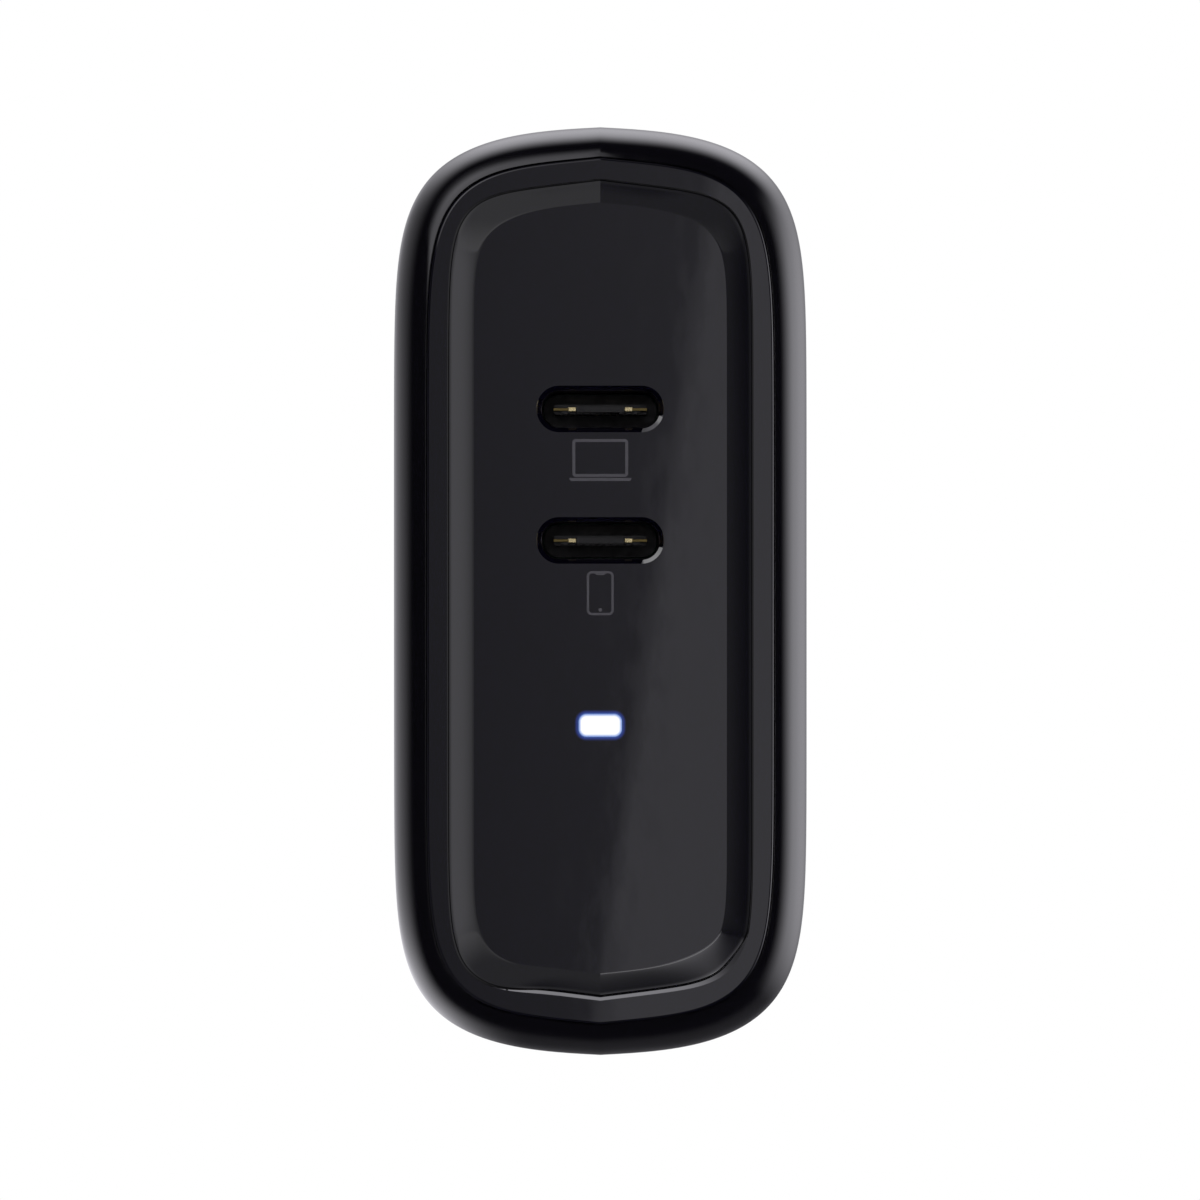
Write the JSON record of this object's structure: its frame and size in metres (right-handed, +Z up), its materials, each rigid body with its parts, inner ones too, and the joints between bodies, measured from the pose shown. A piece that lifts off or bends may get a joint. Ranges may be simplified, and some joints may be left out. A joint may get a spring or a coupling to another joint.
{
  "type": "usb wall charger",
  "caption": "Slim black USB-C wall charger with a gloss face, a light bar and fold-flat mains blades at the back.",
  "frame": {"origin": "centre of the flat wall face at the back, on the land between the two blade channels", "axes": "+Y out of the wall face along the unfolded blades, +X across the narrow side, +Z up the face; the ports look along -Y"},
  "size_m": [0.0294, 0.077, 0.0662],
  "materials": {
    "body_black": "satin moulded black",
    "gloss_black": "piano gloss black",
    "milky_lens": "milky, lit white with a blue edge",
    "board_green": "solder mask",
    "dark_steel": "dark plated",
    "steel": "zinc plated",
    "blade_nickel": "nickel plated brass",
    "contact_gold": "gold flashed",
    "copper": "enamelled copper and bronze",
    "aluminium": "brushed",
    "ferrite": "matt grey-black ferrite",
    "black_resin": "filled resin",
    "cream_plastic": "plain",
    "yellow_film": "polyester film",
    "blue_lacquer": "dipped lacquer",
    "green_lacquer": "dipped lacquer",
    "white_sleeve": "wire sleeve",
    "grey_pad": "soft heat-conducting pad",
    "amber_sheet": "insulating film"
  },
  "bodies": {
    "charger_body": {"main_housing": "body_black", "bezel_ring": "gloss_black", "face_panel": "gloss_black", "rear_cover": "body_black", "light_pipe": "milky_lens", "status_lamp": "milky_lens", "port_board": "board_green", "main_board": "board_green", "port_controller_upper": "black_resin", "port_controller_lower": "black_resin", "usb_c_mouth_upper": "dark_steel", "usb_c_mouth_lower": "dark_steel", "usb_c_tongue_upper": "black_resin", "usb_c_tongue_lower": "black_resin", "usb_c_midplate_upper": "contact_gold", "usb_c_midplate_lower": "contact_gold", "board_link_header": "black_resin", "insulating_sheet": "amber_sheet", "insulating_barrier": "cream_plastic", "heat_spreader": "aluminium", "thermal_pad": "grey_pad", "transformer_core_top": "ferrite", "transformer_core_base": "ferrite", "transformer_bobbin": "cream_plastic", "transformer_winding": "copper", "transformer_tape": "yellow_film", "choke_core": "ferrite", "choke_winding_line": "copper", "choke_winding_neutral": "copper", "bulk_capacitor_1": "black_resin", "bulk_capacitor_2": "black_resin", "bulk_capacitor_3": "black_resin", "output_capacitor_1": "aluminium", "output_capacitor_2": "aluminium", "x_capacitor": "yellow_film", "y_capacitor": "blue_lacquer", "varistor": "blue_lacquer", "inrush_thermistor": "green_lacquer", "fuse": "black_resin", "bridge_rectifier": "black_resin", "primary_switch": "black_resin", "optocoupler": "black_resin", "output_rectifier": "black_resin", "output_inductor_lower": "ferrite", "output_inductor_upper": "ferrite", "plug_bracket": "black_resin", "bracket_screw_upper": "steel", "bracket_screw_lower": "steel", "line_contact_spring": "copper", "neutral_contact_spring": "copper", "line_lead": "black_resin", "neutral_lead": "white_sleeve"},
    "plug": {"blade_carrier": "body_black", "left_blade": "blade_nickel", "right_blade": "blade_nickel"}
  },
  "joints": [
    {"name": "plug_fold", "type": "hinge", "parent": "charger_body", "child": "plug", "pos_m": [0, -0.004, 0.009], "axis": [-1, 0, 0], "range_deg": [0, 90]}
  ]
}
